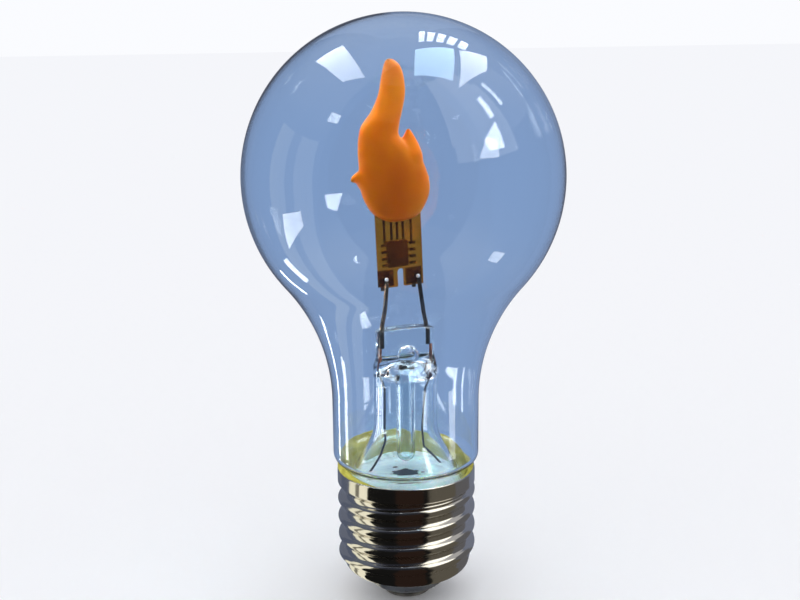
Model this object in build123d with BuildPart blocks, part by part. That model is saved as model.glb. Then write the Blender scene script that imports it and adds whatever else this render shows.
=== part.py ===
# Flame effect lamp with a clear glass bulb, an orange silicone flame on an upright board and an E27
# screw cap. Millimetres, +Z along the lamp's axis, origin at the centre of the end contact's face.
# The board and its flame stand in the XZ plane, and their front looks along -Y.

import os
from math import asin, atan2, cos, degrees, pi, radians, sin, sqrt, tan

from build123d import *

os.makedirs("parts", exist_ok=True)


def export(piece, name):
    """Label a finished piece and write it as one STEP file."""
    piece.part.label = name
    export_step(piece.part, f"parts/{name}.step")


# Screw cap, E27: knuckle thread of equal crest and root arcs
thread_pitch = 3.629
thread_major_radius = 13.225
thread_arc_radius = 1.025
thread_start_height = 6.81
thread_end_height = 21.9
shell_wall = 0.3
rim_height = 25.5
rim_radius = 13.2
band_bottom = 22.9
band_slope = 1.0
shell_foot_height = 7.1
thread_fade = 1.7
ridge_bite = 0.35
ridge_clearance = 0.1
core_proud = 0.04
lip_radius = 9.2
lip_height = 4.9

# Insulator and end contact
insulator_top = 7.4
insulator_knee_radius = 6.6
insulator_knee_height = 2.0
contact_radius = 4.7
contact_thickness = 1.1
contact_edge_fillet = 0.7
eyelet_radius = 1.3
eyelet_wall = 0.35

# Glass envelope
head_radius = 29.5
overall_length = 110.4
glass_wall = 0.7
neck_radius = 13.9
neck_top = 39.0
neck_foot = 28.8
seal_radius = 12.0
seal_height = 22.2
tuck_arc_radius = 2.0

# Stem: flare tube, press and exhaust tube
flare_tube_radius = 6.0
flare_wall = 0.8
flare_start = 34.8
flare_arc_radius = 9.0
flare_half_angle = 29.5
press_blend = 3.2
press_height = 5.6
press_width = 11.2
press_thickness = 3.8
press_corner = 1.7
press_edge = 0.5
cavity_rise = 1.3
cavity_half_width = 4.3
cavity_half_depth = 1.5
bubble_radius = 2.05
bubble_drop = 0.05
bubble_forward = 0.7
exhaust_radius = 1.8
exhaust_bore = 1.1
exhaust_tip = 26.4
exhaust_bite = 0.1

# Wires
leg_radius = 0.4
leg_mid_height = 57.5
leg_rise = 3.8
leg_proud = 0.3
leg_grip = 3.8
leg_bend_radius = 0.7
leg_front = 1.15
leg_tail = 2.4
leg_foot_left = 4.6
leg_foot_right = 4.3
leg_knee_left = 4.1
leg_knee_right = 3.3
solder_radius = 1.15
dumet_spread = 9.6
dumet_radius = 0.26
dumet_tail = 0.7
lead_radius = 0.2
lead_bend_radius = 1.0
lead_spread = 8.2

# Board and what it carries
board_offset = -0.7
board_rise = 3.3
board_lean = 2.2
board_width = 8.8
board_thickness = 0.8
board_shoulder = 17.0
board_chamfer = 0.5
tongue_width = 3.4
tongue_offset = -1.5
tongue_clearance = 10.3
slot_width = 1.4
slot_depth = 3.4
copper_thickness = 0.07
pad_width = 3.2
pad_height = 3.1
pad_inset = 1.2
pad_margin = 0.1
hole_radius = 0.48
hole_height = 1.6
hole_spread = 6.3
track_width = 0.45
track_offset = -0.1
track_spread = 1.15
outer_track_spread = 2.65
track_bottom = 8.7
rail_spread = 2.2
track_top = 14.5
rail_margin = 1.0
chip_width = 3.9
chip_height = 4.9
chip_thickness = 1.35
chip_standoff = 0.12
chip_middle = 5.95
lead_pitch = 1.27
lead_width = 0.42
lead_thickness = 0.2
lead_reach = 1.15
lead_foot = 0.6
led_width = 2.8
led_height = 1.5
led_thickness = 0.7
led_count = 5
led_pitch = 3.3
led_start = 15.6

# Flame
flame_rise = 12.1
flame_half_width = 6.7
flame_half_depth = 3.2
crown_clearance = 7.6

# Supply potted in the cap
potting_radius = 11.5
potting_level = 25.0
driver_height = 19.0
driver_thickness = 1.0
driver_radius = 9.6
capacitor_radius = 2.4
capacitor_height = 5.15
resistor_radius = 1.25
resistor_length = 6.5
rectifier_length = 4.7
rectifier_width = 3.9
rectifier_height = 2.4
component_lead_radius = 0.3
resistor_tail = 0.6
contact_solder_height = 1.5

capacitor_x = -1.4
capacitor_y = -3.2
rectifier_x = 4.2
rectifier_y = 3.4
resistor_bottom = 9.9
side_wire_height = 15.88
side_wire_bend = 1.0

# Cement
cement_back_height = 28.6
cement_front_height = 26.3
cement_foot = 22.6
cement_crown = 13.86

thread_depth_centre = thread_major_radius - thread_arc_radius
driver_top = driver_height + driver_thickness
root_centre = sqrt((2 * thread_arc_radius) ** 2 - (thread_pitch / 2) ** 2) + thread_depth_centre
root_radius = root_centre - thread_arc_radius + core_proud
flank_slope = (root_centre - thread_depth_centre) / (thread_pitch / 2)

# The stem's press holds the legs, and the board stands on them
leg_straight = leg_mid_height - leg_rise
press_top = leg_straight - leg_proud
press_bottom = press_top - press_height
press_foot = press_bottom - press_blend
leg_join_height = press_top - leg_grip
cavity_top = press_foot + cavity_rise
bubble_height = press_bottom - bubble_drop
exhaust_top = cavity_top + exhaust_bite
dumet_bottom = cavity_top - dumet_tail
board_bottom = leg_mid_height + board_rise

# The flame ends below the crown of the glass, and the board's tongue inside the flame
flame_foot = board_bottom + flame_rise
flame_tip = overall_length - glass_wall - crown_clearance
tongue_top = flame_tip - board_bottom - tongue_clearance
board_top = max(board_shoulder, tongue_top)


def thread_section(inset):
    """Knuckle section of one ridge: a crest arc on straight flanks, closed inside the core."""
    crest_arc = thread_arc_radius - inset
    share = crest_arc / (2 * thread_arc_radius)
    meet_radius = thread_depth_centre + (root_centre - thread_depth_centre) * share
    meet_height = thread_pitch / 2 * share
    base_radius = root_radius - inset - ridge_bite
    base_height = meet_height + (meet_radius - base_radius) * flank_slope
    start = Plane(origin=(0, 0, thread_start_height), x_dir=(1, 0, 0), z_dir=(0, -1, 0))
    with BuildSketch(start) as section:
        with BuildLine():
            ThreePointArc((meet_radius, -meet_height), (thread_depth_centre + crest_arc, 0),
                          (meet_radius, meet_height))
            Polyline((meet_radius, meet_height), (base_radius, base_height), (base_radius, -base_height),
                     (meet_radius, -meet_height))
        make_face()
    return section.sketch


def thread_room(inset):
    """Room that the ridge may fill, so that the thread fades out at both ends."""
    full = thread_major_radius + ridge_clearance
    root = root_radius - inset - ridge_bite - ridge_clearance
    floor = shell_foot_height + ridge_clearance
    roof = band_bottom - band_slope - ridge_clearance
    with BuildSketch(Plane.XZ) as section:
        with BuildLine():
            Polyline((0, floor), (root, floor), (full, floor + thread_fade), (full, roof - thread_fade),
                     (root, roof), (0, roof), (0, floor))
        make_face()
    return section.sketch


def thread_ridge(inset):
    """Helical ridge of the rolled thread, moved inward by the sheet's thickness where inset."""
    with BuildPart() as ridge:
        with BuildLine() as path:
            Helix(thread_pitch, thread_end_height - thread_start_height, root_radius,
                  center=(0, 0, thread_start_height))
        sweep(thread_section(inset), path=path.line, is_frenet=True)
        revolve(thread_room(inset), axis=Axis.Z, mode=Mode.INTERSECT)
    return ridge.part


def foot_round(inset):
    """Start, middle and end of the drawn corner between the shell's lip and its core."""
    core = root_radius - inset
    bend = shell_foot_height - lip_height - inset
    slant = bend * sqrt(0.5)
    return ((core - bend, lip_height + inset), (core - bend + slant, shell_foot_height - slant),
            (core, shell_foot_height))


def shell_section(inset):
    """Half section of the screw shell without its thread, closed on the axis."""
    outer = rim_radius - inset
    core = root_radius - inset
    foot = lip_height + inset
    with BuildSketch(Plane.XZ) as section:
        with BuildLine():
            Line((0, foot), foot_round(inset)[0])
            ThreePointArc(*foot_round(inset))
            Polyline((core, shell_foot_height), (core, band_bottom - band_slope), (outer, band_bottom),
                     (outer, rim_height), (0, rim_height), (0, foot))
        make_face()
    return section.sketch


def glass_section(inset):
    """Half section of the bulb: head, shoulder, neck and tuck, moved inward where inset."""
    head = head_radius - inset
    neck = neck_radius - inset
    head_height = overall_length - head_radius
    arc_room = sqrt(head_radius ** 2 - neck_radius ** 2) + 2 * glass_wall
    shoulder_foot = min(neck_top, head_height - arc_room)
    rise = head_height - shoulder_foot
    shoulder = (head_radius ** 2 - neck_radius ** 2 - rise ** 2) / (2 * (neck_radius - head_radius))
    centre = neck_radius + shoulder
    tilt = atan2(rise, centre)
    sag = shoulder + inset
    tuck = neck_radius - seal_radius
    drop = sqrt(tuck * (4 * tuck_arc_radius - tuck))
    swing = asin(drop / 2 / tuck_arc_radius)
    upper = tuck_arc_radius - inset
    lower = tuck_arc_radius + inset
    foot = neck_foot - drop
    upper_x = neck_radius - tuck_arc_radius
    lower_x = seal_radius + tuck_arc_radius
    meet = (upper_x + upper * cos(swing), neck_foot - upper * sin(swing))
    mid_head = (pi / 2 - tilt) / 2
    with BuildSketch(Plane.XZ) as section:
        with BuildLine():
            ThreePointArc((0, head_height + head),
                          (head * cos(mid_head), head_height + head * sin(mid_head)),
                          (head * cos(tilt), head_height - head * sin(tilt)))
            ThreePointArc((head * cos(tilt), head_height - head * sin(tilt)),
                          (centre - sag * cos(tilt / 2), shoulder_foot + sag * sin(tilt / 2)),
                          (neck, shoulder_foot))
            Line((neck, shoulder_foot), (neck, neck_foot))
            ThreePointArc((neck, neck_foot),
                          (upper_x + upper * cos(swing / 2), neck_foot - upper * sin(swing / 2)), meet)
            ThreePointArc(meet, (lower_x - lower * cos(swing / 2), foot + lower * sin(swing / 2)),
                          (lower_x - lower, foot))
            Polyline((lower_x - lower, foot), (lower_x - lower, seal_height), (0, seal_height),
                     (0, head_height + head))
        make_face()
    return section.sketch


def flare_section(inset, top):
    """Half section of the stem's tube and flare, filled to the axis."""
    turn = radians(flare_half_angle)
    swing = flare_arc_radius + inset
    centre = flare_tube_radius + flare_arc_radius
    tube = flare_tube_radius - inset
    cone_x = centre - swing * cos(turn)
    cone_z = flare_start - swing * sin(turn)
    rim = min(seal_radius - glass_wall, cone_x + (cone_z - seal_height) * tan(turn))
    rim_z = cone_z - (rim - cone_x) / tan(turn)
    with BuildSketch(Plane.XZ) as section:
        with BuildLine():
            Polyline((tube, flare_start), (tube, top), (0, top), (0, seal_height), (rim, seal_height))
            if rim_z > seal_height + 0.01:
                Line((rim, seal_height), (rim, rim_z))
            Line((rim, rim_z), (cone_x, cone_z))
            ThreePointArc((cone_x, cone_z),
                          (centre - swing * cos(turn / 2), flare_start - swing * sin(turn / 2)),
                          (tube, flare_start))
        make_face()
    return section.sketch


def bent_wire(points, radius, bend):
    """Round wire through the points, with an even bend at each."""
    with BuildPart() as piece:
        with BuildLine() as path:
            FilletPolyline(*points, radius=bend)
        with BuildSketch(Plane(origin=path.line @ 0, z_dir=path.line % 0)):
            Circle(radius)
        sweep(path=path.line)
    return piece.part


def support_leg(x_foot, x_knee, hole):
    """Leg from the press to the board, bent back through the pad's hole and down behind it."""
    points = [(x_foot, 0, leg_join_height), (x_foot, 0, leg_straight),
              (x_knee, -leg_front / 2, leg_mid_height), (hole.X, -leg_front, hole.Z),
              (hole.X, leg_front, hole.Z), (hole.X, leg_front, hole.Z - leg_tail)]
    return bent_wire(points, leg_radius, leg_bend_radius)


def lower_lead(side, bends):
    """Lead from the foot of its dumet wire, loose down the flare and into the filler."""
    drop = dumet_bottom - driver_top
    points = [(side * dumet_spread / 2, 0, dumet_bottom)]
    for across, height in bends:
        points.append((side * across * lead_spread, 0, driver_top + height * drop))
    points.append((side * lead_spread, 0, driver_top))
    return bent_wire(points, lead_radius, lead_bend_radius)


def flame_point(across, height):
    """Place in the flame's middle plane, from shares of its half width and of its height."""
    return Vector(across * flame_half_width, 0, flame_foot + height * (flame_tip - flame_foot))


def flame_lobe(rows):
    """Upright lobe through level ovals; a row is a height, a middle, a half width and a half depth."""
    with BuildPart() as lobe:
        for height, middle, half, depth in rows:
            with BuildSketch(Plane(origin=flame_point(middle, height))):
                Ellipse(half * flame_half_width, depth * flame_half_depth)
        loft()
    return lobe.part


def flame_horn(rows):
    """Small bent horn through round sections; a row is a place across, a height and a radius."""
    centres = [flame_point(across, height) for across, height, radius in rows]
    with BuildPart() as horn:
        for index, (across, height, radius) in enumerate(rows):
            ahead = centres[min(index + 1, len(rows) - 1)]
            behind = centres[max(index - 1, 0)]
            with BuildSketch(Plane(origin=centres[index], x_dir=(0, 1, 0), z_dir=ahead - behind)):
                Circle(radius * flame_half_width)
        loft()
    return horn.part


# Screw shell: nickelled sheet, drawn to a cup, rolled to the knuckle thread inside and outside
with BuildPart() as screw_shell:
    revolve(shell_section(0), axis=Axis.Z)
    add(thread_ridge(0))
    revolve(shell_section(shell_wall), axis=Axis.Z, mode=Mode.SUBTRACT)
    add(thread_ridge(shell_wall), mode=Mode.SUBTRACT)
    with Locations((0, 0, lip_height)):
        Cylinder(lip_radius - shell_wall, 2 * shell_wall, mode=Mode.SUBTRACT)
export(screw_shell, "screw_shell")

# Insulator: dark glass run into the foot of the shell, dished below, bored for the eyelet
with BuildPart() as cap_insulator:
    inner_lip = lip_radius - shell_wall
    inner_core = root_radius - shell_wall
    with BuildSketch(Plane.XZ) as section:
        with BuildLine():
            Line((eyelet_radius, contact_thickness), (contact_radius, contact_thickness))
            ThreePointArc((contact_radius, contact_thickness),
                          (insulator_knee_radius, insulator_knee_height), (inner_lip, lip_height))
            Polyline((inner_lip, lip_height), (inner_lip, lip_height + shell_wall),
                     foot_round(shell_wall)[0])
            ThreePointArc(*foot_round(shell_wall))
            Polyline((inner_core, shell_foot_height), (inner_core, insulator_top),
                     (eyelet_radius, insulator_top), (eyelet_radius, contact_thickness))
        make_face()
    revolve(axis=Axis.Z)
export(cap_insulator, "cap_insulator")

# End contact: pressed brass button with a hollow eyelet up through the insulator
with BuildPart() as centre_contact:
    Cylinder(contact_radius, contact_thickness, align=(Align.CENTER, Align.CENTER, Align.MIN))
    fillet(centre_contact.edges().group_by(Axis.Z)[0], radius=contact_edge_fillet)
    Cylinder(eyelet_radius, insulator_top, align=(Align.CENTER, Align.CENTER, Align.MIN))
    Cylinder(eyelet_radius - eyelet_wall, 3 * insulator_top, mode=Mode.SUBTRACT)
export(centre_contact, "centre_contact")

# Glass envelope: blown clear bulb of even wall, its neck drawn in and sealed to the flare
with BuildPart() as glass_envelope:
    revolve(glass_section(0), axis=Axis.Z)
    revolve(glass_section(glass_wall), axis=Axis.Z, mode=Mode.SUBTRACT)
export(glass_envelope, "glass_envelope")

# Exhaust tube: thin glass tube, open into the press and tipped off below
with BuildPart() as exhaust_tube:
    with BuildSketch(Plane.XY.offset(exhaust_tip + exhaust_radius)):
        Circle(exhaust_radius)
    extrude(amount=exhaust_top - exhaust_tip - exhaust_radius)
    with Locations((0, 0, exhaust_tip + exhaust_radius)):
        Sphere(exhaust_radius)
    with BuildSketch(Plane.XY.offset(exhaust_tip + exhaust_radius)):
        Circle(exhaust_bore)
    extrude(amount=exhaust_top, mode=Mode.SUBTRACT)
    with Locations((0, 0, exhaust_tip + exhaust_radius)):
        Sphere(exhaust_bore, mode=Mode.SUBTRACT)
export(exhaust_tube, "exhaust_tube")

# Board plane: u to the right and v up in it, its normal to the front
lean = radians(board_lean)
board = Plane(origin=(board_offset, 0, board_bottom), x_dir=(cos(lean), 0, sin(lean)), z_dir=(0, -1, 0))
left_hole = board.from_local_coords(Vector(-hole_spread / 2, hole_height, 0))
right_hole = board.from_local_coords(Vector(hole_spread / 2, hole_height, 0))

# Support legs: copper-clad steel wire, pinched in the press, bent through the board's pads
with BuildPart() as support_leg_left:
    add(support_leg(-leg_foot_left, -leg_knee_left, left_hole))
export(support_leg_left, "support_leg_left")

with BuildPart() as support_leg_right:
    add(support_leg(leg_foot_right, leg_knee_right, right_hole))
export(support_leg_right, "support_leg_right")

# Dumet wires: red-coated seal wires in the press
with BuildPart() as dumet_left:
    with Locations((-dumet_spread / 2, 0, (dumet_bottom + leg_join_height) / 2)):
        Cylinder(dumet_radius, leg_join_height - dumet_bottom)
export(dumet_left, "dumet_left")

with BuildPart() as dumet_right:
    with Locations((dumet_spread / 2, 0, (dumet_bottom + leg_join_height) / 2)):
        Cylinder(dumet_radius, leg_join_height - dumet_bottom)
export(dumet_right, "dumet_right")

# Lower leads: thin wires loose down the flare to the supply; each bend is a share of the way out and up
with BuildPart() as lower_lead_left:
    add(lower_lead(-1, [(0.5, 0.85), (0.51, 0.55), (0.5, 0.44), (0.62, 0.33), (0.78, 0.25), (1, 0.16)]))
export(lower_lead_left, "lower_lead_left")

with BuildPart() as lower_lead_right:
    add(lower_lead(1, [(0.52, 0.85), (0.46, 0.65), (0.42, 0.5), (0.46, 0.35), (0.76, 0.25), (1, 0.16)]))
export(lower_lead_right, "lower_lead_right")

# Stem: flared tube pressed flat on the wires at its top, with the blown bubble of the exhaust hole
with BuildPart() as stem_flare:
    revolve(flare_section(0, press_foot), axis=Axis.Z)
    with BuildSketch(Plane.XY.offset(press_foot)) as press_start:
        Circle(flare_tube_radius)
    with BuildSketch(Plane.XY.offset(press_bottom)) as press_end:
        RectangleRounded(press_width, press_thickness, press_corner)
    loft([press_start.sketch, press_end.sketch], mode=Mode.ADD)
    with BuildSketch(Plane.XY.offset(press_bottom)):
        RectangleRounded(press_width, press_thickness, press_corner)
    extrude(amount=press_top - press_bottom)
    fillet(stem_flare.edges().group_by(Axis.Z)[-1], radius=press_edge)
    revolve(flare_section(flare_wall, press_foot), axis=Axis.Z, mode=Mode.SUBTRACT)
    with BuildSketch(Plane.XY.offset(press_foot)) as cavity_start:
        Circle(flare_tube_radius - flare_wall)
    with BuildSketch(Plane.XY.offset(cavity_top)) as cavity_end:
        Ellipse(cavity_half_width, cavity_half_depth)
    loft([cavity_start.sketch, cavity_end.sketch], mode=Mode.SUBTRACT)
    with Locations((0, -bubble_forward, bubble_height)):
        Sphere(bubble_radius, mode=Mode.SUBTRACT)
    with Locations((0, 0, exhaust_top)):
        Cylinder(exhaust_radius, 2 * exhaust_bore, align=(Align.CENTER, Align.CENTER, Align.MAX),
                 mode=Mode.SUBTRACT)
    add(support_leg_left.part, mode=Mode.SUBTRACT)
    add(support_leg_right.part, mode=Mode.SUBTRACT)
    add(dumet_left.part, mode=Mode.SUBTRACT)
    add(dumet_right.part, mode=Mode.SUBTRACT)
    add(lower_lead_left.part, mode=Mode.SUBTRACT)
    add(lower_lead_right.part, mode=Mode.SUBTRACT)
export(stem_flare, "stem_flare")

# Board: translucent amber glass laminate with a narrow tongue up into the flame
with BuildPart() as led_board:
    with BuildSketch(board):
        with Locations((0, board_shoulder / 2)):
            Rectangle(board_width, board_shoulder)
        with Locations((tongue_offset, tongue_top / 2)):
            Rectangle(tongue_width, tongue_top)
        with Locations((0, (slot_depth - slot_width / 2) / 2)):
            Rectangle(slot_width, slot_depth - slot_width / 2, mode=Mode.SUBTRACT)
        with Locations((0, slot_depth - slot_width / 2)):
            Circle(slot_width / 2, mode=Mode.SUBTRACT)
        with Locations((-hole_spread / 2, hole_height), (hole_spread / 2, hole_height)):
            Circle(hole_radius, mode=Mode.SUBTRACT)
    extrude(amount=board_thickness / 2, both=True)
    chamfer(led_board.edges().filter_by(Axis.Y).sort_by(Axis.Z)[0], length=board_chamfer)
export(led_board, "led_board")

# Copper: pads, tracks and the rails of the light-emitting chips, on the board's back
chip_lead_rows = [chip_middle + lead_pitch * step for step in (-1.5, -0.5, 0.5, 1.5)]
chip_lead_middle = chip_width / 2 + lead_reach - lead_foot / 2
with BuildPart() as board_copper:
    with BuildSketch(board.offset(-board_thickness / 2)):
        with Locations((-pad_inset - pad_width / 2, pad_height / 2 + pad_margin),
                       (pad_inset + pad_width / 2, pad_height / 2 + pad_margin)):
            Rectangle(pad_width, pad_height)
        with Locations(*[(side * chip_lead_middle, row) for side in (-1, 1) for row in chip_lead_rows]):
            Rectangle(2 * lead_foot, 1.3 * lead_width)
        with Locations(*[(track_offset + side * track_spread, (track_bottom + track_top) / 2)
                         for side in (-1, 0, 1)]):
            Rectangle(track_width, track_top - track_bottom)
        with Locations(*[(side * outer_track_spread, (chip_lead_rows[3] + track_top) / 2)
                         for side in (-1, 1)]):
            Rectangle(track_width, track_top - chip_lead_rows[3])
        with Locations((0, track_top)):
            Rectangle(board_width - 2 * board_chamfer, 2 * track_width)
        with Locations((tongue_offset - rail_spread / 2, (track_top + board_top) / 2),
                       (tongue_offset + rail_spread / 2, (track_top + board_top) / 2)):
            Rectangle(track_width, board_top - track_top - rail_margin)
        with Locations((-hole_spread / 2, hole_height), (hole_spread / 2, hole_height)):
            Circle(hole_radius, mode=Mode.SUBTRACT)
    extrude(amount=-copper_thickness)
export(board_copper, "board_copper")

# Control chip: moulded body standing just off the board's back
chip_face = board_thickness / 2 + copper_thickness + chip_standoff
chip_level = -chip_face - chip_thickness / 2
with BuildPart(board) as control_chip:
    with Locations((0, chip_middle, chip_level)):
        Box(chip_width, chip_height, chip_thickness)
    chamfer(control_chip.edges().group_by(Axis.Y)[-1], length=chip_thickness / 6)
export(control_chip, "control_chip")

# Gull leads of the chip, four a side
with BuildPart(board) as chip_leads:
    knee = chip_width / 2 + lead_reach - lead_foot
    pad_level = -board_thickness / 2 - copper_thickness
    for side in (-1, 1):
        with Locations(*[(side * (chip_width / 2 + knee) / 2, row, chip_level) for row in chip_lead_rows]):
            Box(knee - chip_width / 2, lead_width, lead_thickness)
        with Locations(*[(side * (knee + lead_thickness / 2), row, (chip_level + pad_level) / 2
                          - lead_thickness / 4) for row in chip_lead_rows]):
            Box(lead_thickness, lead_width, pad_level - chip_level + lead_thickness / 2)
        with Locations(*[(side * (knee + lead_foot / 2), row, pad_level - lead_thickness / 2)
                         for row in chip_lead_rows]):
            Box(lead_foot, lead_width, lead_thickness)
export(chip_leads, "chip_leads")

# Light-emitting chips: two ladders on the tongue, one to the front and one to the back
with BuildPart(board) as leds:
    led_rows = [led_start + led_pitch * step for step in range(led_count)]
    led_rows = [row for row in led_rows if row + led_height / 2 < board_top]
    front_level = (board_thickness + led_thickness) / 2
    back_level = -front_level - copper_thickness
    with Locations(*[(tongue_offset, row, front_level) for row in led_rows]):
        Box(led_width, led_height, led_thickness)
    with Locations(*[(tongue_offset, row, back_level) for row in led_rows]):
        Box(led_width, led_height, led_thickness)
export(leds, "leds")

# Solder: a cone of tin at each leg, through the hole and over the pad behind
with BuildPart() as leg_solder:
    for hole in (left_hole, right_hole):
        with Locations((hole.X, board_thickness / 2 + copper_thickness, hole.Z)):
            Sphere(solder_radius)
            Box(4 * solder_radius, 2 * solder_radius, 4 * solder_radius,
                align=(Align.CENTER, Align.MAX, Align.CENTER), mode=Mode.SUBTRACT)
    add(support_leg_left.part, mode=Mode.SUBTRACT)
    add(support_leg_right.part, mode=Mode.SUBTRACT)
export(leg_solder, "leg_solder")

# Flame: cast silicone, a full drop below and a bent tongue above, with a lobe and a horn at its right
# and a curled horn at its left. Its rows are shares of the flame's height, half width and half depth.
with BuildPart() as silicone_flame:
    add(flame_lobe([(0, -0.27, 0.13, 0.16), (0.025, -0.18, 0.51, 0.41), (0.07, -0.2, 0.75, 0.66),
                    (0.16, -0.22, 0.95, 0.88), (0.245, -0.25, 1, 0.97), (0.45, -0.46, 0.84, 0.97),
                    (0.535, -0.61, 0.66, 0.88), (0.6, -0.66, 0.52, 0.78), (0.69, -0.47, 0.425, 0.72),
                    (0.895, -0.29, 0.31, 0.56), (0.96, -0.3, 0.22, 0.41), (1, -0.36, 0.075, 0.16)]))
    add(flame_lobe([(0.38, 0.09, 0.43, 0.75), (0.48, 0.15, 0.25, 0.41), (0.58, 0.12, 0.04, 0.09)]))
    add(flame_horn([(-0.98, 0.26, 0.33), (-1.28, 0.285, 0.19), (-1.52, 0.265, 0.04)]))
    add(flame_horn([(0.58, 0.25, 0.17), (0.7, 0.267, 0.08), (0.785, 0.28, 0.02)]))
    add(led_board.part, mode=Mode.SUBTRACT)
    add(board_copper.part, mode=Mode.SUBTRACT)
    add(leds.part, mode=Mode.SUBTRACT)
export(silicone_flame, "silicone_flame")

# Supply board: round laminate lying across the cap
with BuildPart() as driver_board:
    with Locations((0, 0, driver_height)):
        Cylinder(driver_radius, driver_thickness, align=(Align.CENTER, Align.CENTER, Align.MIN))
export(driver_board, "driver_board")

# Smoothing capacitor: sleeved can standing on the supply board
with BuildPart() as smoothing_capacitor:
    with Locations((capacitor_x, capacitor_y, driver_top)):
        Cylinder(capacitor_radius, capacitor_height, align=(Align.CENTER, Align.CENTER, Align.MIN))
    fillet(smoothing_capacitor.edges().group_by(Axis.Z)[-1], radius=capacitor_radius / 8)
export(smoothing_capacitor, "smoothing_capacitor")

# Bridge rectifier: moulded block on the supply board
with BuildPart() as bridge_rectifier:
    with Locations((rectifier_x, rectifier_y, driver_top)):
        Box(rectifier_length, rectifier_width, rectifier_height,
            align=(Align.CENTER, Align.CENTER, Align.MIN))
    chamfer(bridge_rectifier.edges().group_by(Axis.Z)[-1], length=rectifier_height / 8)
export(bridge_rectifier, "bridge_rectifier")

# Fusible resistor: upright below the supply board, its tail down the eyelet to the end contact
with BuildPart() as fusible_resistor:
    with Locations((0, 0, resistor_bottom)):
        Cylinder(resistor_radius, resistor_length, align=(Align.CENTER, Align.CENTER, Align.MIN))
    fillet(fusible_resistor.edges().filter_by(GeomType.CIRCLE), radius=resistor_radius / 3)
    with Locations((0, 0, resistor_tail)):
        Cylinder(component_lead_radius, driver_height - resistor_tail,
                 align=(Align.CENTER, Align.CENTER, Align.MIN))
export(fusible_resistor, "fusible_resistor")

# Solder of the end contact: the eyelet is filled level with its face
with BuildPart() as contact_solder:
    Cylinder(eyelet_radius - eyelet_wall, contact_solder_height,
             align=(Align.CENTER, Align.CENTER, Align.MIN))
    add(fusible_resistor.part, mode=Mode.SUBTRACT)
export(contact_solder, "contact_solder")

# Side wire: from the supply board's edge to the inside of the shell, between two threads
with BuildPart() as side_wire:
    with BuildLine() as path:
        FilletPolyline((driver_radius - side_wire_bend, 0, driver_height),
                       (driver_radius - side_wire_bend, 0, side_wire_height),
                       (root_radius - shell_wall, 0, side_wire_height), radius=side_wire_bend)
    with BuildSketch(Plane(origin=path.line @ 0, z_dir=path.line % 0)):
        Circle(component_lead_radius)
    sweep(path=path.line)
export(side_wire, "side_wire")

# Filler: white silicone poured over the supply, up into the mouth of the flare
with BuildPart() as potting:
    with Locations((0, 0, insulator_top)):
        Cylinder(potting_radius, seal_height - insulator_top,
                 align=(Align.CENTER, Align.CENTER, Align.MIN))
    revolve(flare_section(flare_wall, press_foot), axis=Axis.Z)
    with Locations((0, 0, potting_level)):
        Cylinder(potting_radius, press_foot, align=(Align.CENTER, Align.CENTER, Align.MIN),
                 mode=Mode.SUBTRACT)
    add(driver_board.part, mode=Mode.SUBTRACT)
    add(smoothing_capacitor.part, mode=Mode.SUBTRACT)
    add(bridge_rectifier.part, mode=Mode.SUBTRACT)
    add(fusible_resistor.part, mode=Mode.SUBTRACT)
    add(side_wire.part, mode=Mode.SUBTRACT)
    add(lower_lead_left.part, mode=Mode.SUBTRACT)
    add(lower_lead_right.part, mode=Mode.SUBTRACT)
export(potting, "potting")

# Basing cement: baked between the shell and the tuck, a collar up the glass, lower in front
with BuildPart() as basing_cement:
    band_inner = rim_radius - shell_wall
    collar_top = max(cement_back_height, cement_front_height, rim_height + shell_wall)
    foot_outer = band_inner - (band_bottom - cement_foot) * (rim_radius - root_radius) / band_slope
    with BuildSketch(Plane.XZ):
        with BuildLine():
            Polyline((foot_outer, cement_foot), (band_inner, band_bottom), (band_inner, rim_height),
                     (rim_radius, rim_height), (cement_crown, collar_top), (0, collar_top),
                     (0, cement_foot), (foot_outer, cement_foot))
        make_face()
        add(glass_section(0), mode=Mode.SUBTRACT)
    revolve(axis=Axis.Z)
    tilt = degrees(atan2(cement_back_height - cement_front_height, 2 * cement_crown))
    middle = (cement_back_height + cement_front_height) / 2
    with Locations(Location((0, 0, middle), (tilt, 0, 0))):
        Box(4 * rim_radius, 4 * rim_radius, rim_radius, align=(Align.CENTER, Align.CENTER, Align.MIN),
            mode=Mode.SUBTRACT)
export(basing_cement, "basing_cement")
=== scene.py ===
import math

import bmesh
import bpy
from mathutils import Matrix, Vector, noise


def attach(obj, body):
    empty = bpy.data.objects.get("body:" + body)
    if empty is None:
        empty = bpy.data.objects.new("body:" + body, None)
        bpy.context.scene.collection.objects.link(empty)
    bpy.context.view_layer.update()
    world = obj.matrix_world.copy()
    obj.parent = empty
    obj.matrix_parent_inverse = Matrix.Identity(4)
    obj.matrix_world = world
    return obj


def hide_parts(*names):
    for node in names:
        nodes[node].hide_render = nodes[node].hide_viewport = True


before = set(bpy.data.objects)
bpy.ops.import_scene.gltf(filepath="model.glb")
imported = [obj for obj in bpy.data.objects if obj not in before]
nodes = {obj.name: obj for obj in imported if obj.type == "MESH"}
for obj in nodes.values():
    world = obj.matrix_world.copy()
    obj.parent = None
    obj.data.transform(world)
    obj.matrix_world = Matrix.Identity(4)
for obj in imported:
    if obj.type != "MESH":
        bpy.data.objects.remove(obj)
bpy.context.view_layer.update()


# Screw shell. Thin nickelled sheet drawn to a cup and rolled to a round thread, the same inside and
# outside. It is the lamp's foot: the glass is cemented in its plain upper band.
# Sizes are millimetres, and heights are measured from the end contact's face.
THREAD_PITCH = 3.629
THREAD_START = 6.81
THREAD_ARC = 1.025
THREAD_CREST = 13.225
THREAD_RUNS_IN = (7.0, 8.4)
THREAD_RUNS_OUT = (21.2, 22.6)
SHELL_CORE = 12.17
SHELL_WALL = 0.3
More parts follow.
